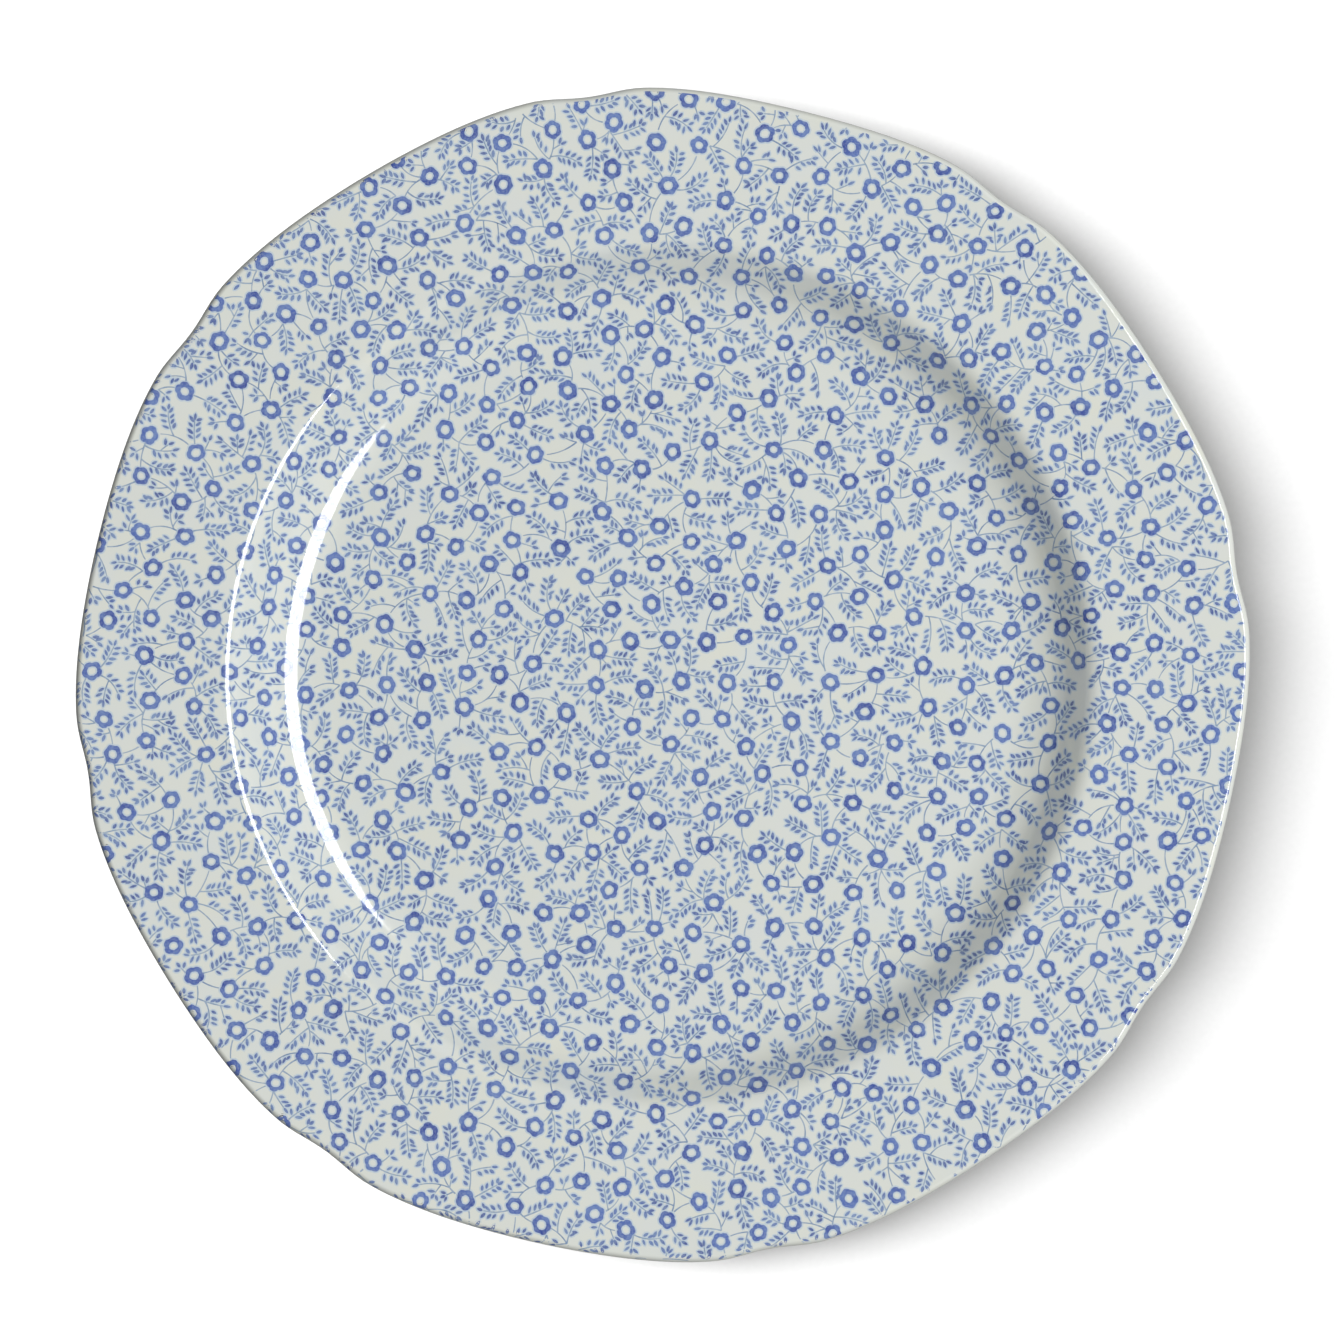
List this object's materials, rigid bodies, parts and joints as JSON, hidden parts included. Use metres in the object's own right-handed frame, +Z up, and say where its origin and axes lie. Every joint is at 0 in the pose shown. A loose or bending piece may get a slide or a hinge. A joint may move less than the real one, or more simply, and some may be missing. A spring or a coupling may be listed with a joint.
{
  "type": "dinner plate",
  "caption": "Round china dinner plate with a scalloped lip, a broad nearly flat rim, a dished well, a foot ring and an all-over small floral print under the glaze.",
  "frame": {"origin": "centre of the plate on the surface it rests on, under its foot ring", "axes": "+Z up, out of the printed face; +Y towards the top of the print; +X to its right"},
  "size_m": [0.2646, 0.2647, 0.0234],
  "materials": {
    "fired_clay": "dry fired white earthenware, matt",
    "blue_print": "cobalt blue print under a clear gloss glaze",
    "glaze": "clear gloss glaze over white clay, slightly warm"
  },
  "bodies": {
    "root": {"clay_body": "fired_clay", "printed_pattern": "blue_print", "glaze_coat": "glaze", "recess_glaze": "glaze"}
  },
  "joints": []
}
